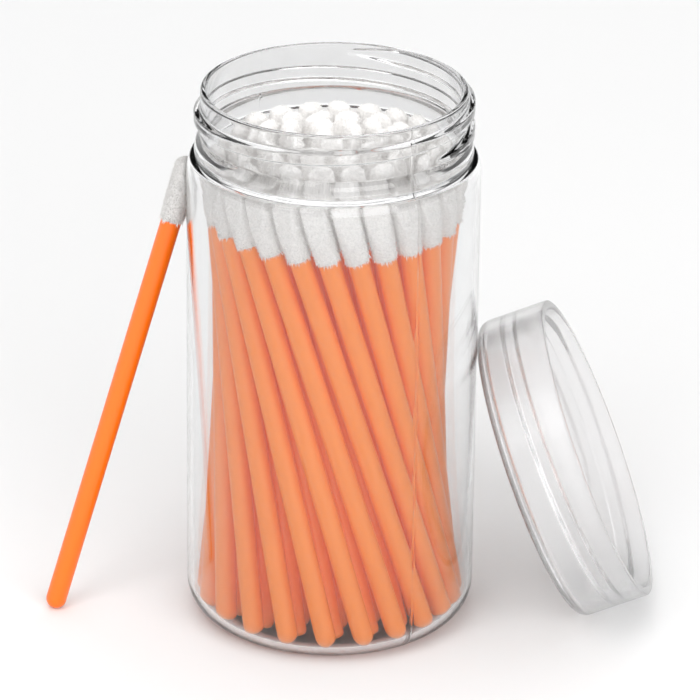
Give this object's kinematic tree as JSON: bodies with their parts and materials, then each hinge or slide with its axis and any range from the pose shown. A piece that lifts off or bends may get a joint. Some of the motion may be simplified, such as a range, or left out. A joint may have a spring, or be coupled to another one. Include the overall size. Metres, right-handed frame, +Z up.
{
  "type": "pack of disposable lip wands",
  "caption": "Clear screw jar filled with a twisted bundle of lip wands with slanted flocked tips, its round cap and one loose wand leaning on its sides.",
  "frame": {"origin": "centre of the jar's base, on the table", "axes": "+Z up along the jar's axis, -Y toward the viewer, so the cap leans on the jar's +X side and the loose wand on its -X side"},
  "size_m": [0.1152, 0.0598, 0.1044],
  "materials": {
    "jar_clear": "clear, polished",
    "cap_clear": "clear, polished",
    "stick_orange": "slightly translucent, satin",
    "flock": "short soft flocking"
  },
  "bodies": {
    "root": {"jar": "jar_clear", "cap": "cap_clear", "loose_stick": "stick_orange", "loose_tip": "flock", "inner_sticks": "stick_orange", "inner_tips": "flock", "outer_stick_01": "stick_orange", "outer_stick_02": "stick_orange", "outer_stick_03": "stick_orange", "outer_stick_04": "stick_orange", "outer_stick_05": "stick_orange", "outer_stick_06": "stick_orange", "outer_stick_07": "stick_orange", "outer_stick_08": "stick_orange", "outer_stick_09": "stick_orange", "outer_stick_10": "stick_orange", "outer_stick_11": "stick_orange", "outer_stick_12": "stick_orange", "outer_stick_13": "stick_orange", "outer_stick_14": "stick_orange", "outer_stick_15": "stick_orange", "outer_stick_16": "stick_orange", "outer_stick_17": "stick_orange", "outer_stick_18": "stick_orange", "outer_stick_19": "stick_orange", "outer_stick_20": "stick_orange", "outer_stick_21": "stick_orange", "outer_stick_22": "stick_orange", "outer_stick_23": "stick_orange", "outer_stick_24": "stick_orange", "outer_stick_25": "stick_orange", "outer_tip_01": "flock", "outer_tip_02": "flock", "outer_tip_03": "flock", "outer_tip_04": "flock", "outer_tip_05": "flock", "outer_tip_06": "flock", "outer_tip_07": "flock", "outer_tip_08": "flock", "outer_tip_09": "flock", "outer_tip_10": "flock", "outer_tip_11": "flock", "outer_tip_12": "flock", "outer_tip_13": "flock", "outer_tip_14": "flock", "outer_tip_15": "flock", "outer_tip_16": "flock", "outer_tip_17": "flock", "outer_tip_18": "flock", "outer_tip_19": "flock", "outer_tip_20": "flock", "outer_tip_21": "flock", "outer_tip_22": "flock", "outer_tip_23": "flock", "outer_tip_24": "flock", "outer_tip_25": "flock"}
  },
  "joints": []
}
